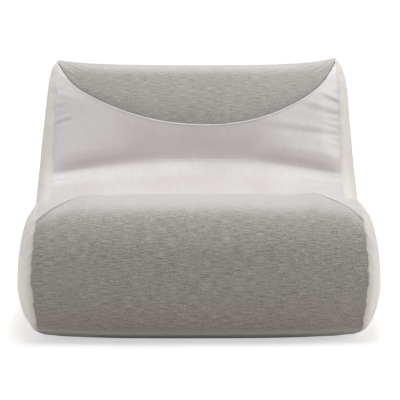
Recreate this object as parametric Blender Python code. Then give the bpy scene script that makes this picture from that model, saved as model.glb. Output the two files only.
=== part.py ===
"""An armless foam lounge chair: a soft wave of foam blocks in a cover of three cloths.

X runs across the chair, Y from its front to its back and Z up, in metres. The origin is
on the floor, under the middle of the chair. Every layer of the chair follows one skin:
a side outline, bowed across the width, with two swollen sides. A layer is a stretch of
that skin between two depths, so the layers nest inside each other.
"""

import math
from collections.abc import Callable
from typing import NamedTuple

import bmesh
import bpy
from mathutils import Matrix, Vector

# Overall sizes
DEPTH = 0.94
HEIGHT = 0.652
SEAM_WIDTH = 0.842
SIDE_BULGE = 0.097

# Layers, from the outside in
CLOTH = 0.002
WADDING = 0.006
GAP = 0.0003
SIDE_SEAM_GAP = 0.0006
FOAM_GAP = 0.0012

# How far the cloth is drawn in at the side seams, as shares of one size
CROWN = 0.022
CROWN_SHARES = (
    (0.00, 0.50), (0.10, 0.70), (0.20, 1.00), (0.30, 0.60), (0.40, 0.10), (0.50, 0.40), (0.56, 0.35),
    (0.61, -0.10), (0.65, -0.60), (0.70, 0.10), (0.78, 0.30), (0.86, 0.00), (0.97, 0.00),
    (1.00, 0.50),
)
CROWN_POWER = 3.5
BASE_LIFT = 0.010
BASE_LIFT_POWER = 2
BASE_FLAT_SHARE = 0.85

# The side outline at mid-width, from the front hem over the seat and the head to the back
# hem: shares of the depth, from its middle, and of the height
OUTLINE_SHARES = (
    (-0.420, 0.004), (-0.474, 0.039), (-0.495, 0.113), (-0.500, 0.205), (-0.495, 0.297),
    (-0.480, 0.384), (-0.448, 0.459), (-0.395, 0.514), (-0.325, 0.540), (-0.250, 0.537),
    (-0.170, 0.512), (-0.090, 0.478), (-0.020, 0.456), (0.050, 0.455), (0.110, 0.478),
    (0.165, 0.524), (0.205, 0.572), (0.228, 0.620), (0.247, 0.695), (0.269, 0.790),
    (0.295, 0.885), (0.335, 0.965), (0.385, 1.000), (0.430, 0.975), (0.455, 0.905),
    (0.472, 0.780), (0.487, 0.600), (0.498, 0.400), (0.500, 0.230), (0.495, 0.110),
    (0.474, 0.038), (0.420, 0.004),
)

# Half the width between the side seams along the outline, as shares of the widest
HALF_WIDTH_SHARES = (
    (0.00, 0.930), (0.03, 0.965), (0.10, 1.000), (0.17, 0.980), (0.25, 0.970), (0.40, 0.968),
    (0.50, 0.967), (0.55, 0.962), (0.61, 0.956), (0.65, 0.950), (0.70, 0.960), (0.90, 0.980),
    (0.97, 0.960), (1.00, 0.930),
)

# Seams across the chair, as shares of the outline: at mid-width, and at the side seam
SEAT_SEAM_SHARES = (0.300, 0.173)
SEAT_SEAM_POWER = 2.0
HEAD_SEAM_SHARES = (0.546, 0.640)
HEAD_SEAM_POWER = 2.35
NAPE_SHARE = 0.700
ZIP_SHARE = 0.945
ARC_FLAT_SHARE = 0.85
ARC_TIGHT_POWER = 12

# Rows of faces in each panel, down the outline, and columns across it. The rows from the
# front hem to the top are as many as those from the top round to the front hem.
SEAT_ROW_COUNT = 9
BACK_ROW_COUNT = 16
HEAD_ROW_COUNT = 6
BROW_ROW_COUNT = 2
REAR_ROW_COUNT = 8
HEM_ROW_COUNT = 2
BASE_ROW_COUNT = (SEAT_ROW_COUNT + BACK_ROW_COUNT + 2 * BROW_ROW_COUNT
                  - HEAD_ROW_COUNT - REAR_ROW_COUNT - HEM_ROW_COUNT)
COLUMN_COUNT = 14
SIDE_COLUMN_COUNT = 6
SWELL_POWER = 0.42
SHOULDER_SHARE = 0.97
SHOULDER_POWER = 1.1
SWELL_STEPS = 400
SIDE_DRAW_SHARE = 0.4

# How full a side is along its upper edge, from the front hem to the top
FULLNESS_SHARES = (
    (0.00, 1.00), (0.15, 1.06), (0.33, 1.04), (0.45, 0.92), (0.60, 0.74), (0.72, 0.80),
    (0.85, 1.08), (1.00, 1.12),
)

# Foam blocks, by where the body is cut
BASE_FOAM_HEIGHT = 0.11
SEAT_CORE_HEIGHT = 0.20
ROLL_DEPTH = 0.27
BACK_FOAM_DEPTH = 0.28
HEAD_FOAM_HEIGHT = 0.125

# Piping along the head seam
PIPING_RADIUS = 0.0015
PIPING_DEPTH = 0.0003

# Zip
ZIP_MARGIN = 0.027
COIL_WIDTH = 0.0036
COIL_THICKNESS = 0.002
TAPE_WIDTH = 0.0034
TAPE_THICKNESS = 0.001
STOP_LENGTH = 0.004
SLIDER_LENGTH = 0.012
SLIDER_WALL = 0.001
SLIDER_REST = 0.004
BRIDGE_LENGTH = 0.008
BRIDGE_WIDTH = 0.0016
BRIDGE_WALL = 0.001
EYE_HEIGHT = 0.002
PULL_LENGTH = 0.028
PULL_WIDTH = 0.0056
PULL_THICKNESS = 0.001
PULL_SIDE = 0.0012
PULL_WINDOW = 0.007
PLAY = 0.0005

CURVE_STEPS = 24
NORMAL_REACH = 0.01
SLOPE_SHARE = 0.001
SHARP_DEGREES = 40


def clear_scene():
    for thing in list(bpy.data.objects):
        bpy.data.objects.remove(thing)


def finish_of(name, colour, roughness, metallic=0.0):
    """A plain finish, made once for all the pieces that share it."""
    made = bpy.data.materials.get(name)
    if made is None:
        made = bpy.data.materials.new(name)
        made.use_nodes = True
        shader = made.node_tree.nodes["Principled BSDF"]
        shader.inputs["Base Color"].default_value = (*colour, 1.0)
        shader.inputs["Roughness"].default_value = roughness
        shader.inputs["Metallic"].default_value = metallic
    return made


def grey_cloth():
    return finish_of("grey_cloth", (0.33, 0.31, 0.29), 0.9)


def white_cloth():
    return finish_of("white_cloth", (0.72, 0.68, 0.67), 0.85)


def cream_cloth():
    return finish_of("cream_cloth", (0.72, 0.67, 0.61), 0.85)


def base_cloth():
    return finish_of("base_cloth", (0.03, 0.03, 0.03), 0.95)


def wadding():
    return finish_of("wadding", (0.85, 0.85, 0.83), 0.95)


def firm_foam():
    return finish_of("firm_foam", (0.52, 0.62, 0.72), 0.95)


def medium_foam():
    return finish_of("medium_foam", (0.85, 0.83, 0.62), 0.95)


def soft_foam():
    return finish_of("soft_foam", (0.92, 0.90, 0.84), 0.95)


def zip_plastic():
    return finish_of("zip_plastic", (0.55, 0.54, 0.52), 0.6)


def zip_metal():
    return finish_of("zip_metal", (0.6, 0.6, 0.6), 0.35, 1.0)


def between(pairs, where):
    """The value at a place, read off straight lines through (place, value) pairs."""
    for (start, low), (end, high) in zip(pairs, pairs[1:]):
        if where <= end:
            return low + (high - low) * (where - start) / (end - start)
    return pairs[-1][1]


def curve_point(before, start, end, after, part):
    """One point of a smooth curve from start to end, whose ends lean on their neighbours."""
    near = (end - before) * 0.5
    far = (after - start) * 0.5
    square, cube = part ** 2, part ** 3
    return (
        start * (2 * cube - 3 * square + 1) + near * (cube - 2 * square + part)
        + end * (3 * square - 2 * cube) + far * (cube - square)
    )


class Outline:
    """The side outline, read by the share of its length from the front hem."""

    def __init__(self, shares):
        knots = [Vector((a * DEPTH, b * HEIGHT)) for a, b in shares]
        padded = [2 * knots[0] - knots[1], *knots, 2 * knots[-1] - knots[-2]]
        self.points = [
            curve_point(*padded[i:i + 4], step / CURVE_STEPS)
            for i in range(len(knots) - 1)
            for step in range(CURVE_STEPS)
        ] + [knots[-1]]
        self.lengths = [0.0]
        for near, far in zip(self.points, self.points[1:]):
            self.lengths.append(self.lengths[-1] + (far - near).length)
        self.length = self.lengths[-1]

    def point_at(self, length):
        low, high = 0, len(self.lengths) - 1
        while high - low > 1:
            middle = (low + high) // 2
            if self.lengths[middle] <= length:
                low = middle
            else:
                high = middle
        part = (length - self.lengths[low]) / (self.lengths[high] - self.lengths[low])
        return self.points[low].lerp(self.points[high], min(max(part, 0.0), 1.0))

    def read(self, share):
        """A point of the outline and the direction that faces out of it."""
        length = share * self.length
        along = self.point_at(length + NORMAL_REACH) - self.point_at(length - NORMAL_REACH)
        return self.point_at(length), Vector((-along.y, along.x)).normalized()


OUTLINE = Outline(OUTLINE_SHARES)


def seam(shares, power, across):
    """An arc seam's place: from mid-width it leaves slowly, and turns tight at the side."""
    middle, side = shares
    reach = abs(across)
    gone = ARC_FLAT_SHARE * reach ** power + (1 - ARC_FLAT_SHARE) * reach ** ARC_TIGHT_POWER
    return middle + (side - middle) * gone


def seat_seam(across):
    return seam(SEAT_SEAM_SHARES, SEAT_SEAM_POWER, across)


def head_seam(across):
    return seam(HEAD_SEAM_SHARES, HEAD_SEAM_POWER, across)


def front_hem(across):
    return 0.0


def nape_seam(across):
    return NAPE_SHARE


def zip_line(across):
    return ZIP_SHARE


def back_hem(across):
    return 1.0


def half_width(share):
    return between(HALF_WIDTH_SHARES, share) * SEAM_WIDTH / 2


def skin(share, across, depth):
    """A point under the cover: share along the outline, across from -1 to 1, and depth."""
    point, outward = OUTLINE.read(share)
    drawn_in = CROWN * between(CROWN_SHARES, share) * abs(across) ** CROWN_POWER
    point = point - outward * (drawn_in + depth)
    half = half_width(share) - SIDE_DRAW_SHARE * depth
    return Vector((half * across, point.x, point.y))


def past_flat(reach):
    """0 on the flat middle of the base, rising to 1 at its edge."""
    return (max(abs(reach) - BASE_FLAT_SHARE, 0) / (1 - BASE_FLAT_SHARE)) ** BASE_LIFT_POWER


def base_skin(part, across, depth):
    """A point of the flat base, from the back hem (part 0) to the front hem (part 1)."""
    back, front = skin(1.0, across, depth), skin(0.0, across, depth)
    made = back.lerp(front, part)
    flat = depth + BASE_LIFT * past_flat(across)
    made.z = flat + (made.z - flat) * past_flat(2 * part - 1)
    return made


EDGE_SHARE = 1 - 2 * SIDE_SEAM_GAP / SEAM_WIDTH


def base_part(part):
    """The base sheet ends a gap short of both hems."""
    return GAP / DEPTH + (1 - 2 * GAP / DEPTH) * part


def column_place(part):
    """Columns lie closer towards the side seams. Part runs from 0 to 1."""
    return math.sin(math.pi * (part - 0.5))


def plain_trim(across):
    return GAP / 2


def piping_trim(across):
    """Room for the piping, measured down the outline however steeply the seam runs."""
    near, far = across - SLOPE_SHARE, across + SLOPE_SHARE
    rise = (head_seam(far) - head_seam(near)) * OUTLINE.length
    run = (far - near) * half_width(head_seam(across))
    return (PIPING_RADIUS + GAP) * math.hypot(1, rise / run)


def zip_trim(across):
    return COIL_WIDTH / 2 + GAP + TAPE_WIDTH + GAP


class Panel(NamedTuple):
    """A panel of cloth from one seam across the chair to the next, and its rows of faces."""

    name: str
    start: Callable
    end: Callable
    trims: tuple
    rows: int
    cloth: Callable

    def share(self, part, across):
        """A place down the panel, between edges that are trimmed back from its seams."""
        first = self.start(across) + self.trims[0](across) / OUTLINE.length
        last = self.end(across) - self.trims[1](across) / OUTLINE.length
        return first + (last - first) * part

    def row_share(self, row, across):
        """The same for a row of the closed foam body, whose first row is on the seam."""
        return self.share(row / self.rows, across) if row else self.start(across)


PANELS = (
    Panel("seat", front_hem, seat_seam, (plain_trim, plain_trim), SEAT_ROW_COUNT, grey_cloth),
    Panel("back", seat_seam, head_seam, (plain_trim, piping_trim), BACK_ROW_COUNT, white_cloth),
    Panel("head", head_seam, nape_seam, (piping_trim, plain_trim), HEAD_ROW_COUNT, grey_cloth),
    Panel("rear", nape_seam, zip_line, (plain_trim, zip_trim), REAR_ROW_COUNT, grey_cloth),
    Panel("hem", zip_line, back_hem, (zip_trim, plain_trim), HEM_ROW_COUNT, grey_cloth),
)
LOOP = [(panel, row) for panel in PANELS for row in range(panel.rows)]
HALF_LOOP_ROW_COUNT = SEAT_ROW_COUNT + BACK_ROW_COUNT + BROW_ROW_COUNT


def loop_point(index, across, depth):
    """A point of the closed loop of lines round the chair, base included."""
    index %= 2 * HALF_LOOP_ROW_COUNT
    if index < len(LOOP):
        panel, row = LOOP[index]
        return skin(panel.row_share(row, across), across, depth)
    part = (index - len(LOOP)) / BASE_ROW_COUNT
    return base_skin(part if part == 0 else base_part(part), across, depth)


def flat_side_point(row, column, side, depth):
    """A side before it swells: rungs run from the seat and back to the base and rear."""
    place = 0.5 - 0.5 * math.cos(math.pi * column / SIDE_COLUMN_COUNT)
    return loop_point(row, side, depth).lerp(loop_point(-row, side, depth), place)


def side_swell():
    """How full a side is at each rung and column, from 0 at its seam to 1, as if blown up."""
    rows, columns = range(HALF_LOOP_ROW_COUNT + 1), range(SIDE_COLUMN_COUNT + 1)
    flat = [[flat_side_point(row, column, 1, 0) for column in columns] for row in rows]
    full = [[0.0 for column in columns] for row in rows]
    for _ in range(SWELL_STEPS):
        for row in rows[1:-1]:
            for column in columns[1:-1]:
                pull, weight = 1.0, 0.0
                for near, beside in ((row - 1, column), (row + 1, column), (row, column - 1),
                                     (row, column + 1)):
                    share = 1 / max((flat[near][beside] - flat[row][column]).length_squared, GAP ** 2)
                    pull += share * full[near][beside]
                    weight += share
                full[row][column] = pull / weight
    top = max(max(line) for line in full)
    for row in rows:
        rung = flat[row][0] - flat[row][-1]
        upright = abs(rung.z) / max(rung.length, GAP)
        for column in columns:
            above = (0.5 + 0.5 * math.cos(math.pi * column / SIDE_COLUMN_COUNT)) ** SHOULDER_POWER
            soften = 1 - SHOULDER_SHARE * upright * above
            swell = (full[row][column] / top) ** SWELL_POWER
            full[row][column] = between(FULLNESS_SHARES, row / HALF_LOOP_ROW_COUNT) * soften * swell
    return full


SWELL = side_swell()


def side_point(row, column, side, depth, swell=1.0):
    """A point of a swollen side. Deeper layers swell less, so that they nest."""
    made = flat_side_point(row, column, side, depth)
    bulge = max(SIDE_BULGE - (1 - SIDE_DRAW_SHARE) * depth, 0.0)
    made.x += side * swell * bulge * SWELL[row][column]
    return made


def add_object(name, mesh, finish, smooth=True):
    """Turns a bmesh into a named object with one finish."""
    bmesh.ops.triangulate(mesh, faces=mesh.faces[:], quad_method="SHORT_EDGE")
    bmesh.ops.recalc_face_normals(mesh, faces=mesh.faces[:])
    data = bpy.data.meshes.new(name)
    mesh.to_mesh(data)
    mesh.free()
    if smooth:
        data.shade_smooth()
        data.set_sharp_from_angle(angle=math.radians(SHARP_DEGREES))
    made = bpy.data.objects.new(name, data)
    data.materials.append(finish)
    bpy.context.scene.collection.objects.link(made)
    return made


def unit_grid(mesh, columns, rows):
    """A flat grid of triangles whose halves mirror, always split so, to let layers nest."""
    grid = bmesh.ops.create_grid(mesh, x_segments=columns, y_segments=rows, size=0.5)
    halves = {"FIXED": set(), "ALTERNATE": set()}
    for face in {face for vert in grid["verts"] for face in vert.link_faces}:
        halves["ALTERNATE" if face.calc_center_median().x > 0 else "FIXED"].add(face)
    for split, faces in halves.items():
        bmesh.ops.triangulate(mesh, faces=list(faces), quad_method=split)
    return grid["verts"]


def layer(name, place, columns, rows, outer, inner, finish):
    """A closed sheet: a grid set at the outer depth, and its copy at the inner depth."""
    mesh = bmesh.new()
    unit_grid(mesh, columns, rows)
    lifted = bmesh.ops.extrude_face_region(mesh, geom=mesh.faces[:], use_keep_orig=True)
    under = {part for part in lifted["geom"] if isinstance(part, bmesh.types.BMVert)}
    for vert in mesh.verts:
        depth = inner if vert in under else outer
        vert.co = place(vert.co.x + 0.5, vert.co.y + 0.5, depth)
    bmesh.ops.remove_doubles(mesh, verts=mesh.verts[:], dist=GAP / 10)
    return add_object(name, mesh, finish)


def add_panel(panel, kind, outer, thickness, finish):
    def place(over, down, depth):
        across = column_place(over)
        return skin(panel.share(down, across), across * EDGE_SHARE, depth)
    return layer(panel.name + kind, place, COLUMN_COUNT, panel.rows, outer, outer + thickness, finish)


def base_panel(name, outer, thickness, finish):
    def place(over, down, depth):
        return base_skin(base_part(down), column_place(over) * EDGE_SHARE, depth)
    return layer(name, place, COLUMN_COUNT, BASE_ROW_COUNT, outer, outer + thickness, finish)


def side_panel(name, side, outer, thickness, finish):
    def place(over, down, depth):
        row, column = round(down * HALF_LOOP_ROW_COUNT), round(over * SIDE_COLUMN_COUNT)
        return side_point(row, column, side, depth)
    return layer(name, place, SIDE_COLUMN_COUNT, HALF_LOOP_ROW_COUNT, outer, outer + thickness,
                 finish)


def make_covers():
    cream = cream_cloth()
    for panel in PANELS:
        add_panel(panel, "_cover", 0, CLOTH, panel.cloth())
    side_panel("left_side_cover", -1, 0, CLOTH, cream)
    side_panel("right_side_cover", 1, 0, CLOTH, cream)
    base_panel("base_cover", 0, CLOTH, base_cloth())


def make_wadding():
    outer = CLOTH + GAP
    white = wadding()
    for panel in PANELS:
        add_panel(panel, "_wadding", outer, WADDING, white)
    side_panel("left_side_wadding", -1, outer, WADDING, white)
    side_panel("right_side_wadding", 1, outer, WADDING, white)


def foam_body(depth):
    """The whole inner body, closed: the loop of lines round the chair and two flat ends."""
    mesh = bmesh.new()
    trimmed = EDGE_SHARE - 4 * GAP / SEAM_WIDTH

    def squeeze(point):
        return Vector((point.x * trimmed, point.y, point.z))

    def add_grid(columns, rows, place):
        for vert in unit_grid(mesh, columns, rows):
            vert.co = squeeze(place(vert.co.x + 0.5, vert.co.y + 0.5))

    def round_body(over, down):
        return loop_point(round(down * 2 * HALF_LOOP_ROW_COUNT), column_place(over), depth)

    add_grid(COLUMN_COUNT, 2 * HALF_LOOP_ROW_COUNT, round_body)
    for side in (-1, 1):
        add_grid(SIDE_COLUMN_COUNT, HALF_LOOP_ROW_COUNT, lambda over, down, side=side: flat_side_point(
            round(down * HALF_LOOP_ROW_COUNT), round(over * SIDE_COLUMN_COUNT), side, depth))
    bmesh.ops.remove_doubles(mesh, verts=mesh.verts[:], dist=GAP / 10)
    bmesh.ops.triangulate(mesh, faces=mesh.faces[:], quad_method="FIXED")
    bmesh.ops.recalc_face_normals(mesh, faces=mesh.faces[:])
    return mesh


def keep_side(mesh, point, facing):
    """Cuts a closed mesh by a plane, drops what the plane faces and closes the cut."""
    everything = mesh.verts[:] + mesh.edges[:] + mesh.faces[:]
    bmesh.ops.bisect_plane(mesh, geom=everything, dist=GAP / 100, plane_co=point, plane_no=facing,
                           clear_outer=True)
    rim = [edge for edge in mesh.edges if edge.is_boundary]
    bmesh.ops.holes_fill(mesh, edges=rim, sides=0)


def foam_block(name, body, cuts, finish):
    """A copy of the body between planes, each given as an axis, a place and a side."""
    mesh = body.copy()
    for axis, place, side in cuts:
        facing = Vector((0, side, 0)) if axis == "y" else Vector((0, 0, side))
        point = facing * (place * side - GAP / 2)
        keep_side(mesh, point, facing)
    return add_object(name, mesh, finish)


def make_foam():
    depth = CLOTH + GAP + WADDING + FOAM_GAP
    body = foam_body(depth)
    roll = ROLL_DEPTH - DEPTH / 2
    back = DEPTH / 2 - BACK_FOAM_DEPTH
    head = HEIGHT - HEAD_FOAM_HEIGHT
    low, core = BASE_FOAM_HEIGHT, SEAT_CORE_HEIGHT
    mid, soft = medium_foam(), soft_foam()
    foam_block("base_foam", body, (("z", low, 1),), firm_foam())
    foam_block("front_roll_foam", body, (("z", low, -1), ("y", roll, 1)), mid)
    foam_block("seat_core_foam", body, (
        ("z", low, -1), ("z", core, 1), ("y", roll, -1), ("y", back, 1)), mid)
    foam_block("seat_top_foam", body, (("z", core, -1), ("y", roll, -1), ("y", back, 1)), soft)
    foam_block("back_foam", body, (("z", low, -1), ("y", back, -1), ("z", head, 1)), mid)
    foam_block("head_foam", body, (("z", head, -1),), soft)
    body.free()
    for name, side in (("left_side_foam", -1), ("right_side_foam", 1)):
        side_foam(name, side, depth, soft)


def side_foam(name, side, depth, finish):
    """The swollen pad at one side: flat against the blocks, round towards the cover."""
    mesh = bmesh.new()
    for swell in (0.0, 1.0):
        for vert in unit_grid(mesh, SIDE_COLUMN_COUNT, HALF_LOOP_ROW_COUNT):
            row = round((vert.co.y + 0.5) * HALF_LOOP_ROW_COUNT)
            column = round((vert.co.x + 0.5) * SIDE_COLUMN_COUNT)
            vert.co = side_point(row, column, side, depth, swell)
    bmesh.ops.remove_doubles(mesh, verts=mesh.verts[:], dist=GAP / 10)
    return add_object(name, mesh, finish)


def make_piping():
    """A thin tube laid in the head seam, with a point at each column of the panels."""
    curve = bpy.data.curves.new("head_seam_piping", "CURVE")
    curve.dimensions = "3D"
    curve.bevel_depth = PIPING_RADIUS
    curve.bevel_resolution = 1
    curve.use_fill_caps = True
    spline = curve.splines.new("POLY")
    spline.points.add(COLUMN_COUNT)
    places = [column_place(index / COLUMN_COUNT) for index in range(COLUMN_COUNT + 1)]
    route = [skin(head_seam(across), across * EDGE_SHARE, PIPING_DEPTH) for across in places]
    for end, inside in ((0, 1), (-1, -2)):
        route[end] += (route[inside] - route[end]).normalized() * 2 * PIPING_RADIUS
    for point, place in zip(spline.points, route):
        point.co = (*place, 1.0)
    made = bpy.data.objects.new("head_seam_piping", curve)
    curve.materials.append(white_cloth())
    bpy.context.scene.collection.objects.link(made)


def zip_half():
    """Half the zip's length: it stops a margin short of the side seams."""
    return half_width(ZIP_SHARE) - ZIP_MARGIN


def zip_frame():
    """Where the zip lies: X along it, Y up the cover across it, and Z out of the cover."""
    point, outward = OUTLINE.read(ZIP_SHARE)
    out = Vector((0, outward.x, outward.y))
    along = Vector((-1, 0, 0))
    turn = Matrix((along, out.cross(along), out)).transposed().to_4x4()
    return Matrix.Translation((0, point.x, point.y)) @ turn


def box(name, low, high, frame, finish):
    """A block between two corners, given in the frame that it is placed by."""
    low, high = Vector(low), Vector(high)
    mesh = bmesh.new()
    size, middle = high - low, (low + high) / 2
    bmesh.ops.create_cube(mesh, size=1, matrix=Matrix.Translation(middle) @ Matrix.Diagonal((*size, 1)))
    made = add_object(name, mesh, finish, smooth=False)
    made.matrix_world = frame
    return made


def cut_with(target, low, high, frame):
    """Takes a block out of an object with a hidden cutter."""
    cutter = box(target.name + "_cutter", low, high, frame, target.data.materials[0])
    cutter.hide_render = True
    cutter.display_type = "WIRE"
    boolean = target.modifiers.new("cut", "BOOLEAN")
    boolean.operation = "DIFFERENCE"
    boolean.object = cutter


def make_zip():
    frame = zip_frame()
    plastic, metal = zip_plastic(), zip_metal()
    half = zip_half()
    coil_top = 0.0
    tape_top = -(COIL_THICKNESS - TAPE_THICKNESS) / 2
    box("zip_coil", (-half, -COIL_WIDTH / 2, coil_top - COIL_THICKNESS), (half, COIL_WIDTH / 2, coil_top),
        frame, plastic)
    for name, side in (("upper_zip_tape", 1), ("lower_zip_tape", -1)):
        near, far = COIL_WIDTH / 2 + GAP, COIL_WIDTH / 2 + GAP + TAPE_WIDTH
        edges = sorted((side * near, side * far))
        box(name, (-half - STOP_LENGTH, edges[0], tape_top - TAPE_THICKNESS),
            (half + STOP_LENGTH, edges[1], tape_top), frame, base_cloth())
    for name, side in (("zip_end_stop", -1), ("zip_start_stop", 1)):
        edges = sorted((side * (half + GAP), side * (half + STOP_LENGTH)))
        box(name, (edges[0], -COIL_WIDTH / 2, coil_top - COIL_THICKNESS),
            (edges[1], COIL_WIDTH / 2, coil_top + SLIDER_WALL), frame, metal)
    make_slider(frame, metal, coil_top, tape_top)


def make_slider(frame, metal, coil_top, tape_top):
    """The slider straddles the coil. Its bridge holds the cross bar of the pull."""
    start = zip_half() - SLIDER_REST - SLIDER_LENGTH / 2
    place = frame @ Matrix.Translation((start, 0, 0))
    half, wide = SLIDER_LENGTH / 2, COIL_WIDTH / 2 + PLAY + SLIDER_WALL
    under = coil_top + PLAY
    top = under + SLIDER_WALL
    slider = box("zip_slider", (-half, -wide, tape_top + GAP),
                 (half, wide, top + EYE_HEIGHT + BRIDGE_WALL), place, metal)
    over = SLIDER_LENGTH
    cut_with(slider, (-over, -wide + SLIDER_WALL, tape_top - over), (over, wide - SLIDER_WALL, under),
             place)
    for side in (-1, 1):
        edges = sorted((side * BRIDGE_WIDTH / 2, side * over))
        cut_with(slider, (-over, edges[0], top), (over, edges[1], top + over), place)
        ends = sorted((side * BRIDGE_LENGTH / 2, side * over))
        cut_with(slider, (ends[0], -over, top), (ends[1], over, top + over), place)
    eye = BRIDGE_LENGTH / 2 - BRIDGE_WALL
    cut_with(slider, (-eye, -over, top), (eye, over, top + EYE_HEIGHT), place)
    make_pull(place @ Matrix.Translation((0, 0, top + EYE_HEIGHT / 2)), metal)


def make_pull(place, metal):
    """A flat tab, turning about its cross bar, with a window that clears the bridge."""
    bar = PULL_THICKNESS / 2
    pull = box("zip_pull", (-PULL_LENGTH, -PULL_WIDTH / 2, -bar), (bar, PULL_WIDTH / 2, bar), place,
               metal)
    window = PULL_WIDTH / 2 - PULL_SIDE
    cut_with(pull, (-bar - PULL_WINDOW, -window, -PULL_WINDOW), (-bar, window, PULL_WINDOW), place)


def build():
    clear_scene()
    make_covers()
    make_wadding()
    make_foam()
    make_piping()
    make_zip()


build()
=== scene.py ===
# %% [markdown]
# # A low foam lounge chair
# This chair is a wave of foam in a zipped cover of three cloths: a grey melange weave over the
# seat and the head, a white ribbed cloth between them and a plain cream cloth at the sides.
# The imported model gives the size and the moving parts. This lesson dresses it.

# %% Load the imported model
import math

import bmesh
import bpy
import numpy as np
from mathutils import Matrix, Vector


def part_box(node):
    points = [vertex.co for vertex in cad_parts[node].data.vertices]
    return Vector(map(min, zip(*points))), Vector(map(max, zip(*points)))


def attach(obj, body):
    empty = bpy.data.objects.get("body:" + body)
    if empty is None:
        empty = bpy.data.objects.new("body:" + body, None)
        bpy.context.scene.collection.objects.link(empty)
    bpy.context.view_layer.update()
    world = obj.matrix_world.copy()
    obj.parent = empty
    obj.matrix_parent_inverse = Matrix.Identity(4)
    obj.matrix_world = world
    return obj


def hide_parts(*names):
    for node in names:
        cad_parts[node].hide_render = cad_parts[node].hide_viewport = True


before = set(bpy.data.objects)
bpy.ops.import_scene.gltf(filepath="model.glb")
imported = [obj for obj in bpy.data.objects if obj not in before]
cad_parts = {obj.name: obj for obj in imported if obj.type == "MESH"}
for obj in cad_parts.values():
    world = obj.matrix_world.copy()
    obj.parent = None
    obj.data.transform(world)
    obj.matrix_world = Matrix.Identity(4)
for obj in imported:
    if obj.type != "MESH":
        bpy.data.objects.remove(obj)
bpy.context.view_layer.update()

# %% [markdown]
# ## The skin
# An upholsterer draws such a chair as one side outline, then says how far the cover is drawn in
# at its side seams. So do we. A place on the cover is a share along that outline, from the
# front hem over the seat and the head to the back hem, and a place across the chair, from -1
# at the left side seam to 1 at the right one. A depth goes down into the chair. Every cloth
# panel below is a flat grid that this one function bends into place.

# %% Sizes of the chair, in metres
DEPTH, HEIGHT, SEAM_WIDTH = 0.94, 0.652, 0.842
SIDE_BULGE = 0.1
CLOTH = 0.002
SEAM_GAP = 0.0003
CHAIR_MIDDLE = Vector((0, 0, 0.28))
# How far the cover curves in at its side seams, and how late that curve begins.
CROWN, CROWN_POWER = 0.022, 3.5
# How far the base curves up, and the part of its half width that stays flat.
BASE_LIFT, BASE_FLAT = 0.010, 0.85

# The outline from the front hem to the back hem, in parts of the depth and the height.
OUTLINE = np.array((
    (-0.420, 0.004), (-0.474, 0.039), (-0.495, 0.113), (-0.500, 0.205), (-0.495, 0.297),
    (-0.480, 0.384), (-0.448, 0.459), (-0.395, 0.514), (-0.325, 0.540), (-0.250, 0.537),
    (-0.170, 0.512), (-0.090, 0.478), (-0.020, 0.456), (0.050, 0.455), (0.110, 0.478),
    (0.165, 0.524), (0.205, 0.572), (0.228, 0.620), (0.247, 0.695), (0.269, 0.790),
    (0.295, 0.885), (0.335, 0.965), (0.385, 1.000), (0.430, 0.975), (0.455, 0.905),
    (0.472, 0.780), (0.487, 0.600), (0.498, 0.400), (0.500, 0.230), (0.495, 0.110),
    (0.474, 0.038), (0.420, 0.004),
)) * (DEPTH, HEIGHT)

# Share along the outline, and there: how much of the crown, how much of the width between the
# seams, and how full the side is.
CROWN_SHARES = (
    (0.00, 0.50), (0.10, 0.70), (0.20, 1.00), (0.30, 0.60), (0.40, 0.10), (0.50, 0.40),
    (0.56, 0.35), (0.61, -0.10), (0.65, -0.60), (0.70, 0.10), (0.78, 0.30), (0.86, 0.00),
    (0.97, 0.00), (1.00, 0.50),
)
WIDTH_SHARES = (
    (0.00, 0.930), (0.03, 0.965), (0.10, 1.000), (0.17, 0.980), (0.25, 0.970), (0.40, 0.968),
    (0.50, 0.967), (0.55, 0.962), (0.61, 0.956), (0.65, 0.950), (0.70, 0.960), (0.90, 0.980),
    (0.97, 0.960), (1.00, 0.930),
)
FULLNESS_SHARES = (
    (0.00, 1.00), (0.15, 1.06), (0.33, 1.04), (0.45, 0.92), (0.60, 0.74), (0.72, 0.80),
    (0.85, 1.08), (1.00, 1.12),
)


# %% The outline as one smooth line
def smooth_line(knots, steps=24):
    """Points of a smooth curve through the knots, each stretch leaning on its neighbours."""
    before = np.vstack((2 * knots[0] - knots[1], knots[:-2]))
    after = np.vstack((knots[2:], 2 * knots[-1] - knots[-2]))
    start, end = knots[:-1], knots[1:]
    made = []
    for part in np.arange(steps) / steps:
        square, cube = part ** 2, part ** 3
        made.append(start * (2 * cube - 3 * square + 1) + end * (3 * square - 2 * cube)
                    + (end - before) * 0.5 * (cube - 2 * square + part)
                    + (after - start) * 0.5 * (cube - square))
    return np.vstack((np.stack(made, axis=1).reshape(-1, 2), knots[-1:]))


LINE = smooth_line(OUTLINE)
LINE_LENGTHS = np.concatenate(([0], np.cumsum(np.linalg.norm(np.diff(LINE, axis=0), axis=1))))
LENGTH = LINE_LENGTHS[-1]


def table(pairs, where):
    """Reads a table of places and values, straight between its rows."""
    places, values = zip(*pairs)
    return np.interp(where, places, values)


def line_point(share):
    """Points of the outline, and the directions that face out of it."""
    length = np.asarray(share, float) * LENGTH

    def at(place):
        return np.stack([np.interp(place, LINE_LENGTHS, LINE[:, k]) for k in (0, 1)], axis=-1)

    along = at(length + 0.01) - at(length - 0.01)
    out = np.stack((-along[..., 1], along[..., 0]), axis=-1)
    return at(length), out / np.linalg.norm(out, axis=-1, keepdims=True)


print(f"the outline is {LENGTH:.3f} m long")

# %% [markdown]
# ## Seams
# Two seams arch across the chair: one over the front of the seat, one under the head. The
# others run straight across. A panel of cloth fills the space between two of them.

# %% Where the seams lie
def arch(middle, side, power, across):
    """Shares of a seam that arches from its middle to its ends."""
    reach = np.abs(across)
    return middle + (side - middle) * (0.85 * reach ** power + 0.15 * reach ** 12)


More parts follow.
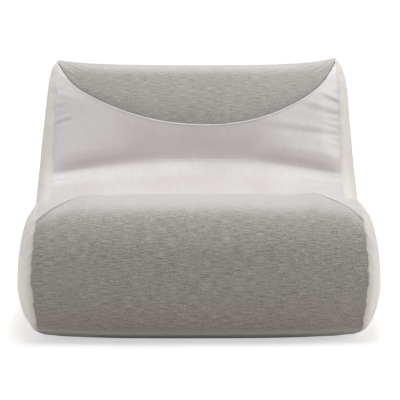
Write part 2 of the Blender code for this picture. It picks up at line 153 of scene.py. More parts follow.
def seat_seam(across):
    """The arc over the front of the seat. Its right end lies a little higher."""
    return arch(0.300, np.where(across > 0, 0.184, 0.176), 2.0, across)


def head_seam(across):
    """The arc under the head. It was sewn a little lower on the right than on the left."""
    drift = 0.0009 + 0.0071 * across - 0.0062 * across ** 2 - 0.0085 * across ** 3
    drift = (drift + 0.0176 * across ** 4) * (1 - across ** 10)
    return arch(0.546, 0.640, 2.35, across) - drift


def straight(share):
    """A seam that runs straight across the chair."""
    return lambda across: np.full_like(across, share)


NAPE_SHARE, ZIP_SHARE = 0.700, 0.945
FRONT_HEM, NAPE, ZIP, BACK_HEM = (straight(at) for at in (0.0, NAPE_SHARE, ZIP_SHARE, 1.0))
COIL_WIDTH, TAPE_WIDTH, ZIP_GAP = 0.0036, 0.0034, 0.0003
ZIP_TRIM = COIL_WIDTH / 2 + ZIP_GAP + TAPE_WIDTH + ZIP_GAP
PIPING_RADIUS = 0.0021
HAIR = 0.0001


def piping_trim(across, step=0.001):
    """Room for the piping, measured down the outline however steeply the seam runs."""
    rise = (head_seam(across + step) - head_seam(across - step)) * LENGTH
    run = 2 * step * table(WIDTH_SHARES, head_seam(across)) * SEAM_WIDTH / 2
    return (PIPING_RADIUS + HAIR) * np.hypot(1, rise / run)


def plain_trim(across):
    """At a plain seam the two cloths leave a hair between them."""
    return np.full_like(across, HAIR)


def zip_trim(across):
    """Room for half the coil and one tape."""
    return np.full_like(across, ZIP_TRIM)


print("head seam at mid-width:", round(float(head_seam(np.array(0.0))), 3))

# %% [markdown]
# ## Creases
# Foam is soft, so the cover shows where it is pulled. The seat meets the back in a crease that
# drops at both ends, short folds run in from the side seams, and the cloth dips beside every
# seam. Each fold here is a narrow dent beside a narrow swell, along a line between two places
# on the cover. They could be left to a simulation alone, but then they would not lie where
# the photograph shows them.


# %% Folds
def hump(distance, width):
    """A soft bump of height 1."""
    return np.exp(-(distance / width) ** 2)


def smooth_step(low, high, where):
    """From 0 below low to 1 above high, with soft ends."""
    part = np.clip((where - low) / (high - low), 0, 1)
    return part * part * (3 - 2 * part)


def crease_share(across):
    """Where the crease between the seat and the back lies: it drops at both sides."""
    drop = np.where(across > 0, 0.0195, 0.0172)
    return 0.4995 - drop * np.abs(across) ** 2.2 - 0.0010 * np.abs(across) ** 10


def crease_depth(share, across):
    """A sharp valley where the back meets the seat, in a broad dip, with a roll above it."""
    far = (share - crease_share(across)) * LENGTH
    side = np.abs(across)
    middle = np.maximum(1 - side ** 2, 0) ** 2
    near = np.hypot(far, 0.0015 + 0.0045 * middle)
    deep = 0.0100 + 0.0020 * side ** 6
    above = middle * hump(far, 0.055) + (1 - middle) * np.exp(-near / 0.038)
    below = np.exp(-near / 0.050)
    top = far - 0.026 + 0.006 * side ** 3
    roll = 0.0004 + 0.0205 * side ** 1.2 * (1 - side ** 14)
    roll = roll * np.where(top < 0, hump(top, 0.018), hump(top, 0.078))
    sink = 0.0130 * np.where(far > 0, hump(far, 0.13), np.exp(-near / 0.036))
    sink = sink * (1 - 0.7 * side ** 10)
    return deep * np.where(far > 0, above, below) + sink - roll


def brow_depth(share, across):
    """In the middle the head leans out over the back, as the arched seam pulls it."""
    far = (share - head_seam(across)) * LENGTH
    middle = np.maximum(1 - across ** 2, 0) ** 2
    lean = np.where(far > 0, 0.75 * hump(far, 0.13) + 0.25 * hump(far, 0.075), hump(far, 0.110))
    return -0.0185 * middle * lean


def seat_seam_depth(share, across):
    """The seat seam's thread gathers the cloth in shallow waves. Its corners stand up."""
    far = (share - seat_seam(across)) * LENGTH
    wave = (np.sin(across * 13.1 + 0.6) + 0.6 * np.sin(across * 22.7 + 2.1)
            + 0.3 * np.sin(across * 41.0))
    corner = hump(np.abs(across) - 0.73, 0.10) * hump(share - 0.245, 0.036)
    raised = np.where(across > 0, 0.0090, 0.0035)
    stitched = 0.0012 * np.exp(-np.abs(far) / 0.004)
    return 0.0014 * wave * hump(far + 0.014, 0.026) - raised * corner + stitched


def head_seam_depth(share, across):
    """The head swells over its seam, and the white cloth curls up to it."""
    far = (share - head_seam(across)) * LENGTH
    dip = 0.0026 * np.exp(-np.abs(far) / np.where(far > 0, 0.0040, 0.009))
    swell = 0.0022 * np.where(far > 0, 1 - np.exp(-far / 0.006), 0) * np.exp(-(far / 0.07) ** 2)
    return dip - swell


def head_corner_rise(share, across):
    """The right corner of the head stands up a little."""
    return 0.0075 * np.maximum(across, 0) ** 7 * hump(share - 0.665, 0.035)


# Each fold: place across and share at its start, the same at its end, its depth and its half
# width in mm. The depths are drawn about a third shallower than written, by DENT_UNIT.
DENT_UNIT = 1550
FOLDS = (
    (-1.00, 0.548, -0.84, 0.557, 3.4, 8), (-1.00, 0.571, -0.90, 0.576, 1.3, 7),
    (-1.00, 0.464, -0.86, 0.473, 3.2, 7), (-1.00, 0.443, -0.88, 0.447, 1.8, 7),
    (-1.00, 0.520, -0.93, 0.522, 1.0, 6), (-1.00, 0.596, -0.93, 0.600, 1.0, 6),
    (1.00, 0.578, 0.84, 0.590, 3.4, 9), (1.00, 0.561, 0.66, 0.577, 3.8, 11),
    (1.00, 0.552, 0.88, 0.553, 1.8, 7), (1.00, 0.541, 0.84, 0.548, 2.8, 8),
    (1.00, 0.532, 0.30, 0.5455, 3.6, 14), (1.00, 0.524, 0.90, 0.527, 1.8, 6),
    (1.00, 0.514, 0.90, 0.517, 1.4, 6), (1.00, 0.472, 0.84, 0.476, 2.0, 8),
    (0.98, 0.455, 0.55, 0.464, 2.6, 12), (1.00, 0.420, 0.84, 0.424, 1.4, 8),
    (-0.98, 0.415, -0.84, 0.420, 1.4, 8),
)


def fold_depth(share, across):
    """How far the cover is pulled in by its folds and creases, in metres."""
    depth = (crease_depth(share, across) + head_seam_depth(share, across)
             + brow_depth(share, across) + seat_seam_depth(share, across)
             - head_corner_rise(share, across))
    for first, low, last, high, dent, width in FOLDS:
        inside = (across - first) / (last - first)
        run = np.clip(inside, 0, 1)
        off = (share - low - (high - low) * run) * LENGTH * 1000
        wide = width * (0.55 + 0.45 * run)
        fade = (1 - smooth_step(0.35, 1.0, inside)) * (inside > -0.2)
        shape = hump(off, wide) - 0.9 * hump(off - 1.8 * wide, wide)
        depth = depth + fade * dent * shape / DENT_UNIT
    return depth


CREASE_DROP = float(crease_share(np.array(0.0)) - crease_share(np.array(1.0))) * LENGTH
print(len(FOLDS), "folds, and a crease that drops", round(CREASE_DROP * 1000), "mm on the right")


# %% The skin function
def wobble(share):
    """How far a side seam wanders sideways, where its thread gathers the cloth."""
    length = share * LENGTH
    return 0.0011 * np.sin(length * 101 + 1.0) + 0.0007 * np.sin(length * 233 + 2.0)


def skin(share, across, depth=0.0, folds=True):
    """Points of the cover, for arrays of shares and places across."""
    share, across = np.asarray(share, float), np.asarray(across, float)
    point, out = line_point(share)
    inward = CROWN * table(CROWN_SHARES, share) * np.abs(across) ** CROWN_POWER + depth
    if folds:
        inward = inward + fold_depth(share, across)
    half = table(WIDTH_SHARES, share) * SEAM_WIDTH / 2 - 0.4 * depth
    if folds:
        half = half + wobble(share) * np.abs(across) ** 12
    point = point - out * inward[..., None]
    return np.stack((half * across, point[..., 0], point[..., 1]), axis=-1)


def base_skin(part, across, depth=0.0):
    """Points of the flat base, from the back hem (part 0) to the front hem (part 1)."""
    def past_flat(reach):
        return (np.maximum(np.abs(reach) - BASE_FLAT, 0) / (1 - BASE_FLAT)) ** 2
    back, front = (skin(np.full_like(across, end), across, depth) for end in (1.0, 0.0))
    made = back + (front - back) * part[..., None]
    flat = depth + BASE_LIFT * past_flat(across)
    made[..., 2] = flat + (made[..., 2] - flat) * past_flat(2 * part - 1)
    return made


CREST = skin(np.linspace(0.1, 0.4, 301), np.zeros(301))[:, 2].max()
print(f"the seat's crest is {CREST:.3f} m over the floor")

# %% [markdown]
# ## A cloth simulation for a panel
# A cover bulges between its seams, because the foam in it is a little too big. A cloth
# simulation finds that bulge: the panel is held by its edges and in the crease and blown up
# for twelve frames. The outline already has the foam's fullness, so a point keeps only the
# first 1 to 3 mm of its move. The solver stops at an edge of no length, which the corners of a
# panel have, so it runs on a copy whose close points are joined.


# %% Helpers for new objects
def placed(name, data):
    """A new object in the scene."""
    made = bpy.data.objects.new(name, data)
    bpy.context.scene.collection.objects.link(made)
    return made


def mesh_data(name, mesh):
    """Mesh data from a bmesh, which is freed."""
    data = bpy.data.meshes.new(name)
    mesh.to_mesh(data)
    mesh.free()
    return data


# %% Blow a panel up
def settle(data, slack, cap, held, frames=12, pressure=4.0, inward=0.4):
    """Holds a panel by its edges, blows it up as cloth, and keeps part of each move.

    The cap is in metres, and of a move into the chair only the inward part is kept.
    """
    mesh = bmesh.new()
    mesh.from_mesh(data)
    own = mesh.verts.layers.int.new("own_place")
    for vert in mesh.verts:
        vert[own] = vert.index
    bmesh.ops.remove_doubles(mesh, verts=mesh.verts[:], dist=0.0002)
    mesh.verts.index_update()
    sewn = [vert.index for vert in mesh.verts if vert.is_boundary or held[vert[own]]]
    kept = np.array([vert[own] for vert in mesh.verts])
    normals = np.array([vert.normal[:] for vert in mesh.verts])
    trial = placed("cloth_trial", mesh_data("cloth_trial", mesh))
    trial.vertex_groups.new(name="sewn").add(sewn, 1.0, "REPLACE")
    cloth = trial.modifiers.new("cloth", "CLOTH").settings
    cloth.vertex_group_mass = "sewn"
    cloth.effector_weights.gravity = 0
    cloth.use_pressure = True
    cloth.uniform_pressure_force = pressure
    cloth.shrink_min = -slack
    for frame_number in range(1, frames + 1):
        bpy.context.scene.frame_set(frame_number)
    blown = trial.evaluated_get(bpy.context.evaluated_depsgraph_get()).data
    before, after = (np.array([vert.co[:] for vert in each.vertices])
                     for each in (trial.data, blown))
    bpy.context.scene.frame_set(1)
    bpy.data.objects.remove(trial)
    out = ((after - before) * normals).sum(1)
    out = np.where(out > 0, out, out * inward)
    out = out * cap / np.hypot(out, cap)
    points = np.empty(len(data.vertices) * 3)
    data.vertices.foreach_get("co", points)
    points = points.reshape(-1, 3)
    points[kept] += normals * out[:, None]
    data.vertices.foreach_set("co", points.ravel())
    return out


# %% [markdown]
# ## From a grid to a cloth panel
# A panel starts as a flat grid from bmesh. Its points are moved onto the skin, its own UV map
# keeps the size of the cloth in metres, so that a weave has the same scale everywhere, and a
# Solidify modifier gives it its thickness. The cloth dips a little along every edge, where
# the stitches hold it down.

# %% A helper that makes a panel
def cloth_piece(name, columns, rows, place, lay, slack=None, cap=0.003, held=None,
                thickness=CLOTH):
    """Bends a grid by place(across part, down part). Its UVs are lay of the same, in metres.

    With a slack it is blown up too, and held says where it is sewn down besides its edges.
    """
    mesh = bmesh.new()
    mesh.loops.layers.uv.new("cloth")
    bmesh.ops.create_grid(mesh, x_segments=columns, y_segments=rows, size=0.5)
    for face in mesh.faces:
        face.smooth = True
    data = mesh_data(name, mesh)
    print(name, len(data.polygons), "faces")
    flat = np.empty(len(data.vertices) * 3)
    data.vertices.foreach_get("co", flat)
    flat = flat.reshape(-1, 3) + 0.5
    data.vertices.foreach_set("co", place(flat[:, 0], flat[:, 1]).ravel())
    corners = np.empty(len(data.loops), dtype=np.int32)
    data.loops.foreach_get("vertex_index", corners)
    data.uv_layers["cloth"].data.foreach_set("uv", lay(flat[:, 0], flat[:, 1])[corners].ravel())
    middle = len(data.polygons) // 2 + columns // 2
    made = placed(name, data)
    data.update()
    if data.polygons[middle].normal.dot(data.polygons[middle].center - CHAIR_MIDDLE) < 0:
        data.flip_normals()
    if slack is not None:
        sewn = held(flat[:, 0], flat[:, 1]) if held else np.zeros(len(flat), bool)
        out = settle(data, slack, cap, sewn)
        print(name, "moved by", round(out.min() * 1000, 2), "to", round(out.max() * 1000, 2), "mm")
    solid = made.modifiers.new("thickness", "SOLIDIFY")
    solid.thickness = thickness
    solid.offset = -1
    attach(made, "chair")
    return made


def edge_dip(distance, depth, width):
    """The dip beside a seam, by the distance from it in metres."""
    return depth * np.exp(-distance / width)


def sized(width, length):
    """The UV map of a plain strip of cloth, by its width and length in metres."""
    return lambda over, down: np.stack((over * width, down * length), axis=-1)


def spread(part):
    """Columns lie closer towards the side seams. Part runs from 0 to 1."""
    return np.sin(np.pi * (part - 0.5))


# %% [markdown]
# ## The cover's five panels across the chair
# Front hem to seat seam is the grey seat, seat seam to head seam the white back, and then come
# the grey head, the grey rear and the strip under the zip.

# %% Make the panels across the chair
PANEL_COLUMNS, PANEL_SLACK, SIDE_SLACK, CREASE_HELD = 180, 0.003, 0.008, 0.004
EDGE = 1 - 2 * SEAM_GAP / SEAM_WIDTH
# Name, first and last seam, the room left at each, rows, and the furthest it is blown up.
PANELS = (
    ("seat_panel", FRONT_HEM, seat_seam, (plain_trim, plain_trim), 150, 0.0014),
    ("back_panel", seat_seam, head_seam, (plain_trim, piping_trim), 200, 0.0018),
    ("head_panel", head_seam, NAPE, (piping_trim, plain_trim), 90, 0.0014),
    ("rear_panel", NAPE, ZIP, (plain_trim, zip_trim), 110, 0.0030),
    ("hem_panel", ZIP, BACK_HEM, (zip_trim, plain_trim), 24, 0.0010),
)


def panel(name, start, end, trims, rows, cap):
    """A panel between two seams. The rows of its weave run straight across the chair."""
    first_share = float(start(np.array(0.0)))

    def spot(over, down):
        across = spread(over)
        first = start(across) + trims[0](across) / LENGTH
        last = end(across) - trims[1](across) / LENGTH
        share = first + (last - first) * down
        return across, share, np.minimum(share - first, last - share) * LENGTH

    def place(over, down):
        across, share, to_seam = spot(over, down)
        to_side = (1 - np.abs(across)) * SEAM_WIDTH / 2
        dip = edge_dip(to_seam, 0.0003, 0.002) + edge_dip(to_side, 0.0004, 0.003)
        return skin(share, across * EDGE, dip)

    def lay(over, down):
        across, share, _ = spot(over, down)
        return np.stack(((across + 1) / 2 * SEAM_WIDTH, (share - first_share) * LENGTH), axis=-1)

    def in_crease(over, down):
        across, share, _ = spot(over, down)
        return np.abs(share - crease_share(across)) * LENGTH < CREASE_HELD

    return cloth_piece(name, PANEL_COLUMNS, rows, place, lay, PANEL_SLACK, cap, in_crease)


COVER = {}
for name, *rest in PANELS:
    COVER[name] = panel(name, *rest)

# %% [markdown]
# ## The swollen sides
# A side panel is sewn flat and swells as the foam fills it. Its shape is found the way a soap
# film finds its own: every point settles to the mean of its neighbours plus a steady push.
# Rungs run from the upper edge of the side to the lower one.

# %% Swell of a side
SIDE_ROWS, SIDE_COLUMNS = 108, 36
ROW_PART = np.arange(SIDE_ROWS + 1) / SIDE_ROWS
COLUMN_TURN = np.cos(np.pi * np.arange(SIDE_COLUMNS + 1) / SIDE_COLUMNS)
SEAT_END, HEAD_END = 0.173, float(head_seam(np.array(1.0)))
BROW_END = HEAD_END + (NAPE_SHARE - HEAD_END) / 3


def upper_share(row):
    """Where a row ends above: on the seat's front, the back, or a stretch of the head."""
    return np.interp(row, (0, 36, 100, SIDE_ROWS), (0.0, SEAT_END, HEAD_END, BROW_END))


def lower_edge(row, side=1.0, folds=False):
    """Points of the lower edge for rows counted from the front hem: base, hem, rear, brow."""
    base, hem, rear, brow = 52, 8, 32, 16
    along = np.interp(row, np.cumsum((0, base, hem, rear, brow)), (0, 1, 2, 3, 4))
    across = np.full_like(along, side)
    on_base = base_skin(1 - np.clip(along, 0, 1), across)
    share = np.interp(along, (1, 2, 3, 4), (1.0, ZIP_SHARE, NAPE_SHARE, BROW_END))
    return np.where((along < 1)[:, None], on_base, skin(share, across, folds=folds))


def side_flat():
    """Points of a side before it swells. On each rung they lie closer at its ends."""
    rows = np.arange(SIDE_ROWS + 1.0)
    top = skin(upper_share(rows), np.ones(SIDE_ROWS + 1), folds=False)
    low = lower_edge(rows)
    part = 0.5 - 0.5 * COLUMN_TURN
    return top[:, None] + (low - top)[:, None] * part[None, :, None]


FLAT = side_flat()
BORDER = np.concatenate((FLAT[:, 0], FLAT[:, -1], FLAT[0]))[:, 1:]
TO_BORDER = np.sqrt(((FLAT[:, :, None, 1:] - BORDER) ** 2).sum(-1).min(-1))


def relax(flat, steps=6000, overshoot=1.85):
    """Settles the swell over the flat side. Each step goes too far on purpose, for speed."""
    full = np.zeros(flat.shape[:2])
    down = 1 / np.maximum(((flat[1:] - flat[:-1]) ** 2).sum(-1), 1e-9)
    over = 1 / np.maximum(((flat[:, 1:] - flat[:, :-1]) ** 2).sum(-1), 1e-9)
    inner = (slice(1, -1), slice(1, -1))
    weight = (down[:-1, 1:-1] + down[1:, 1:-1] + over[1:-1, :-1] + over[1:-1, 1:])
    checker = np.add.outer(np.arange(flat.shape[0]), np.arange(flat.shape[1]))[inner] % 2
    for step in range(steps):
        pull = (down[:-1, 1:-1] * full[:-2, 1:-1] + down[1:, 1:-1] * full[2:, 1:-1]
                + over[1:-1, :-1] * full[1:-1, :-2] + over[1:-1, 1:] * full[1:-1, 2:])
        fresh = (1 + pull) / weight
        chosen = checker == step % 2
        moved = full[inner] + overshoot * (fresh - full[inner])
        full[inner] = np.where(chosen, moved, full[inner])
    return full / full.max()


# The power makes the side rise fast from its seams. Where a rung stands upright, the swell
# begins late from its upper end, so that the side leans out from its top down.
SWELL = relax(FLAT) ** 0.42
RUNG = FLAT[:, 0] - FLAT[:, -1]
UPRIGHT = np.abs(RUNG[:, 2]) / np.maximum(np.linalg.norm(RUNG, axis=1), 1e-6)
ABOVE = (0.5 + 0.5 * COLUMN_TURN) ** 1.1
SWELL = SWELL * (1 - 0.97 * UPRIGHT[:, None] * ABOVE[None])
SWELL = SWELL * table(FULLNESS_SHARES, ROW_PART)[:, None]
NEAR_HEAD = smooth_step(0.76, 0.90, ROW_PART)[:, None]


def swell_of(side, passes=40):
    """The swell of one side. Near the head it rises at once, with a rounded edge."""
    turn, reach, lean = (0.024, 0.010, 0.14) if side > 0 else (0.020, 0.009, 0.07)
    rounded = turn * (1 - np.exp(-TO_BORDER / reach)) + lean * np.minimum(TO_BORDER, 0.12)
    made = SWELL * (1 - NEAR_HEAD) + rounded / SIDE_BULGE * NEAR_HEAD
    for _ in range(passes):
        made[1:-1, 1:-1] = (made[1:-1, 1:-1] * 2 + made[:-2, 1:-1] + made[2:, 1:-1]
                            + made[1:-1, :-2] + made[1:-1, 2:]) / 6
    return made


print("fullest point of a side:", round(float(SWELL.max()), 3))


# %% Make the sides
def side_place(side, reach=0.030):
    """Places a side panel. Both its edges lie on those of its neighbours, folds and all."""
    swell = swell_of(side)
    mirror = np.array((side, 1, 1))

    def place(over, down):
        row = np.clip(down * SIDE_ROWS, 0, SIDE_ROWS)
        column = np.clip(over * SIDE_COLUMNS, 0, SIDE_COLUMNS)
        low = np.minimum(row.astype(int), SIDE_ROWS - 1)

        def read(field, column):
            """A field of points or numbers, read between its rows and columns."""
            left = np.minimum(column.astype(int), SIDE_COLUMNS - 1)
            shape = (-1,) + (1,) * (field.ndim - 2)
            a, b = (row - low).reshape(shape), (column - left).reshape(shape)
            return ((1 - a) * (1 - b) * field[low, left] + a * (1 - b) * field[low + 1, left]
                    + (1 - a) * b * field[low, left + 1] + a * b * field[low + 1, left + 1])

        flat, ends = read(FLAT, column) * mirror, np.full_like(row, side)
        made = flat.copy()
        made[:, 0] += side * SIDE_BULGE * read(swell, column)
        for end, share, edge in ((0, 1 - over, skin(upper_share(row), ends)),
                                 (SIDE_COLUMNS, over, lower_edge(row, side, True))):
            flat_edge = read(FLAT, np.full_like(row, end)) * mirror
            fade = share * np.exp(-np.linalg.norm(flat - flat_edge, axis=1) / reach)
            made += (edge - flat_edge) * fade[:, None]
        return made
    return place


SIDE_CLOTH = sized(0.62, 1.5)
for name, side in (("left_side_panel", -1), ("right_side_panel", 1)):
    COVER[name] = cloth_piece(name, SIDE_COLUMNS * 3, SIDE_ROWS * 2, side_place(side),
                              SIDE_CLOTH, SIDE_SLACK)

# %% [markdown]
# ## Base cloth
# The chair stands on a plain dark cloth, sewn in flat. Foam can't push it out, because the
# floor is there, so it is bent from a grid and not blown up.

# %% Make the base cloth
BASE_LENGTH = 0.79


def base_place(over, down):
    """The base cloth stops short of both hems by 0.0003 of its length."""
    return base_skin(0.0003 + 0.9994 * down, spread(over) * EDGE)


COVER["base_panel"] = cloth_piece("base_panel", 90, 90, base_place,
                                  sized(SEAM_WIDTH, BASE_LENGTH))

# %% [markdown]
# ## Shader expressions
# A small class wraps a socket, so that a mask can be written as ordinary arithmetic. Any other
# node comes from one method, which takes the node's type, its settings and its inputs, and
# nodes that are used often have a short name.


# %% The socket class
class Link:
    """A node socket that can be added, multiplied and mixed."""

    def __init__(self, tree, socket):
        self.tree, self.socket = tree, socket

    def node(self, kind, inputs=None, output=0, **settings):
        """A new node. Its stops, if given, are those of its colour ramp."""
        made = self.tree.nodes.new(kind)
        for name, value in settings.items():
            if name == "stops":
                for index, (where, colour) in enumerate(value):
                    stop = (made.color_ramp.elements[index] if index < 2
                            else made.color_ramp.elements.new(where))
                    stop.position, stop.color = where, (*colour, 1)
            else:
                setattr(made, name, value)
        for key, value in (inputs or {}).items():
            if isinstance(value, Link):
                self.tree.links.new(value.socket, made.inputs[key])
            else:
                made.inputs[key].default_value = value
        return Link(self.tree, made.outputs[output])

    def math(self, operation, *values):
        return self.node("ShaderNodeMath", dict(enumerate(values)), operation=operation)

    def __add__(self, other):
        return self.math("ADD", self, other)

    def __sub__(self, other):
        return self.math("SUBTRACT", self, other)

    def __rsub__(self, other):
        return self.math("SUBTRACT", other, self)

    def __mul__(self, other):
        return self.math("MULTIPLY", self, other)

    def __pow__(self, other):
        return self.math("POWER", self, other)

    def step(self, low, high):
        return self.node("ShaderNodeMapRange", {0: self, 1: low, 2: high, 3: 0.0, 4: 1.0},
                         interpolation_type="SMOOTHSTEP")

    def colours(self, *stops):
        return self.node("ShaderNodeValToRGB", {0: self}, stops=stops)

    def mix(self, low, high):
        """A colour between two, by this value."""
        low, high = (value if isinstance(value, Link) else (*value, 1) for value in (low, high))
        return self.node("ShaderNodeMix", {0: self, 6: low, 7: high}, output=2, data_type="RGBA")

    def on_object(self):
        """The place on the object, in metres."""
        return self.node("ShaderNodeTexCoord", output="Object")

    def part(self, axis):
        """One of the three numbers of a place."""
        return self.node("ShaderNodeSeparateXYZ", {0: self}, output=axis)

    def noise(self, over, down, detail=2.0, roughness=0.5, seed=0.0):
        """Noise over this UV map. The greater its scale over or down, the finer it is."""
        where = self.node("ShaderNodeMapping", {"Vector": self, "Location": (seed, seed, 0),
                                                "Scale": (over, down, 1)})
        return self.node("ShaderNodeTexNoise", {"Vector": where, "Scale": 1.0, "Detail": detail,
                                                "Roughness": roughness}, noise_dimensions="2D")


# %% A material's beginning and end
def finish_for(name, roughness, sheen=0.0, metallic=0.0, sheen_roughness=0.5):
    """A new material, and a Link to start its pattern from."""
    made = bpy.data.materials.new(name)
    made.use_nodes = True
    inputs = made.node_tree.nodes["Principled BSDF"].inputs
    for key, value in (("Roughness", roughness), ("Metallic", metallic), ("Sheen Weight", sheen),
                       ("Sheen Roughness", sheen_roughness)):
        inputs[key].default_value = value
    return made, Link(made.node_tree, None)


def feed(made, colour, roughness=None, height=None, distance=0.001, strength=1.0):
    """Joins a pattern to the shader: its colour, its roughness and the height of its bumps."""
    tree, inputs = made.node_tree, made.node_tree.nodes["Principled BSDF"].inputs
    tree.links.new(colour.socket, inputs["Base Color"])
    if roughness is not None:
        tree.links.new(roughness.socket, inputs["Roughness"])
    if height is not None:
        bump = height.node("ShaderNodeBump", {"Height": height, "Distance": distance,
                                              "Strength": strength})
        tree.links.new(bump.socket, inputs["Normal"])
    print(made.name, "has", len(tree.nodes), "nodes")


def metres(start):
    """The UV map of a cloth, in metres, and its two numbers."""
    uv = start.node("ShaderNodeUVMap", uv_map="cloth")
    return uv, uv.part(0), uv.part(1)


# %% [markdown]
# ## Grey melange weave
# The grey cloth is a coarse plain weave of blended yarn: pale and dark fibres spun together, so
# each yarn changes tone along its length. Two sets of ridges make the weave, and noise that
# is stretched along each yarn makes the melange.

# %% Grey weave
WEFT_PITCH, WARP_PITCH = 0.0034, 0.0030


def grey_weave():
    """Two sets of yarns, calmer on the head, with painted floor bounce low down and painted
    grazing sheen.
    """
    made, start = finish_for("grey_melange_weave", 0.95, sheen=0.3, sheen_roughness=0.4)
    uv, across, down = metres(start)
    weft = start.math("SINE", across * (math.pi / WEFT_PITCH))
    warp = start.math("SINE", down * (math.pi / WARP_PITCH))
    over = (weft * warp).step(-0.35, 0.35)
    warp_round = 1 - start.math("ABSOLUTE", weft) ** 4
    weft_round = 1 - start.math("ABSOLUTE", warp) ** 4
    along, streak, up, blotch = (
        uv.noise(*scales, detail=3.0, roughness=0.65, seed=seed)
        for *scales, seed in ((150, 480, 3.1), (36, 430, 5.9), (340, 400, 7.7), (9, 9, 1.3)))
    place = start.on_object()
    level, sideways = place.part(2), place.part(0)
    right = sideways.step(0.0, 0.25)
    aside = start.math("ABSOLUTE", sideways).step(0.22, 0.38)
    high = level.step(0.42, 0.52)
    yarn = over * along + (1 - over) * up
    tone = yarn * 0.44 + streak * 0.40 - 0.42 + (over - 0.5) * 0.13
    tone = tone * (1 - high * 0.36) + 0.516 + (blotch - 0.5) * 0.03
    tone = tone - high * (0.02 - right * 0.02)
    dyed = tone.colours((0.30, (0.12, 0.112, 0.104)), (0.46, (0.38, 0.357, 0.333)),
                        (0.56, (0.58, 0.547, 0.515)), (0.71, (0.92, 0.88, 0.84)))
    # Painted sheen: the colour turns pale where the cloth is seen at a grazing angle, less on the
    # head and at the sides.
    facing = start.node("ShaderNodeLayerWeight", {"Blend": 0.5}, output=1)
    painted_sheen = facing.step(0.20, 0.56) * (0.70 - high * 0.16 - aside * 0.14)
    # Painted light: a warm brown cast low down stands in for light bounced from the floor.
    painted_floor_bounce = (1 - level.step(0.0, 0.16)) * 0.30
    colour = painted_sheen.mix(painted_floor_bounce.mix(dyed, (0.36, 0.30, 0.24)), (0.86, 0.845, 0.815))
    height = over * warp_round + (1 - over) * weft_round + tone * 0.6
    feed(made, colour, height=height, distance=0.0007, strength=0.9)
    return made


GREY = grey_weave()

# %% [markdown]
# ## White ribbed cloth
# The white cloth has fine ribs that run down the back, under three millimetres apart, and a
# cool lilac cast. Each rib is one wave of a sine over the UV map. Painted shade and painted light
# make the cloth a little darker or paler in places, by masks that follow it: reach is the distance
# from its middle, and valley is the place down it, counted along the curve of the crease.

# %% White rib
RIB_PITCH = 0.0026


def white_rib():
    """Fine ribs, with painted shade and light on the seat, the crease, the cloth above it and its
    ends.
    """
    made, start = finish_for("white_rib_cloth", 0.85, sheen=0.1)
    uv, across, down = metres(start)
    rib = start.math("SINE", across * (2 * math.pi / RIB_PITCH))
    pair = start.math("SINE", across * (math.pi / RIB_PITCH))
    slub, cloud = uv.noise(260, 26, detail=3.0), uv.noise(7, 7)
    tone = rib * 0.10 + pair * 0.02 + slub * 0.35 + cloud * 0.45 + 0.1
    off_middle = across - SEAM_WIDTH / 2
    reach = start.math("ABSOLUTE", off_middle)
    right = off_middle.step(-0.078, 0.078)
    valley = down + reach * reach * 0.21
    # Painted shade: the middle of the back, from the crease up, is darker.
    painted_shade_middle = (1 - reach.step(0.03, 0.34)) * valley.step(0.39, 0.42)
    # Painted light: the sides of the back above the crease are paler, most of all on the right.
    fresh = reach.step(0.14, 0.28) * valley.step(0.438, 0.468) * (right * 0.2 + 0.15)
    # Painted light: the cloth at the foot of the crease is paler, a little less on the right.
    painted_light_crease_foot = valley.step(0.335, 0.372) - valley.step(0.400, 0.412)
    # Painted highlight: the right end of the back above the crease is paler.
    edge = reach.step(0.35, 0.41) * right * valley.step(0.435, 0.468)
    # Painted shade: a darker band at the sides, just above the crease.
    under = reach.step(0.14, 0.26) * (valley.step(0.408, 0.420) - valley.step(0.440, 0.465))
    tone = tone - painted_shade_middle * 0.26 + fresh + painted_light_crease_foot * (0.28 - right * 0.16)
    tone = tone + edge * 0.4 - under * 0.24
    colour = tone.colours((0.25, (0.64, 0.604, 0.598)), (0.50, (0.71, 0.675, 0.668)),
                          (0.75, (0.765, 0.735, 0.728)), (1.0, (0.88, 0.85, 0.843)))
    feed(made, colour, height=rib * 0.5 + slub, distance=0.0003, strength=0.4)
    return made


WHITE = white_rib()

# %% [markdown]
# ## Cream cloth
# The sides are a smooth, close plain weave in warm cream. Its yarns hardly show, so it is
# mostly soft noise, with a fine weave in the bump.

# %% Cream cloth
CREAM_PITCH = 0.0016


def cream_cloth():
    """A close weave under soft noise, paler low down by painted light from the floor."""
    made, start = finish_for("cream_cloth", 0.85, sheen=0.1)
    uv, across, down = metres(start)
    weave = (start.math("SINE", across * (math.pi / CREAM_PITCH))
             * start.math("SINE", down * (math.pi / CREAM_PITCH)))
    fine, cloud = uv.noise(300, 300), uv.noise(6, 6)
    level = start.on_object().part(2)
    # Painted light: the side is paler low down, standing in for light bounced from the floor.
    painted_floor_light = level.step(0.02, 0.12) * (1 - level.step(0.17, 0.30))
    tone = fine * 0.5 + cloud * 0.5 + painted_floor_light * 0.42
    colour = tone.colours((0.30, (0.71, 0.67, 0.625)), (0.70, (0.79, 0.757, 0.715)),
                          (1.0, (0.87, 0.838, 0.795)))
    feed(made, colour, height=weave * 0.5 + fine * 0.6, distance=0.0004, strength=0.4)
    return made


CREAM = cream_cloth()

# %% [markdown]
# ## Base cloth, wadding and foam
# These don't show in the photograph. The base is a thin black bonded cloth, the wadding is
# fluffy white fibre, and each grade of foam has its own tint and open pores.

# %% Hidden finishes
def speckled(name, dark, light, scale, roughness, distance, cells=False):
    """A finish of two tones with a grain that stands up, of soft noise or of open cells."""
    made, start = finish_for(name, roughness)
    where = start.on_object()
    kind = "ShaderNodeTexVoronoi" if cells else "ShaderNodeTexNoise"
    grain = start.node(kind, {"Vector": where, "Scale": scale})
    cloud = start.node("ShaderNodeTexNoise", {"Vector": where, "Scale": scale / 25})
    colour = (grain * 0.6 + cloud * 0.4).mix(dark, light)
    feed(made, colour, height=grain, distance=distance, strength=0.6)
    return made


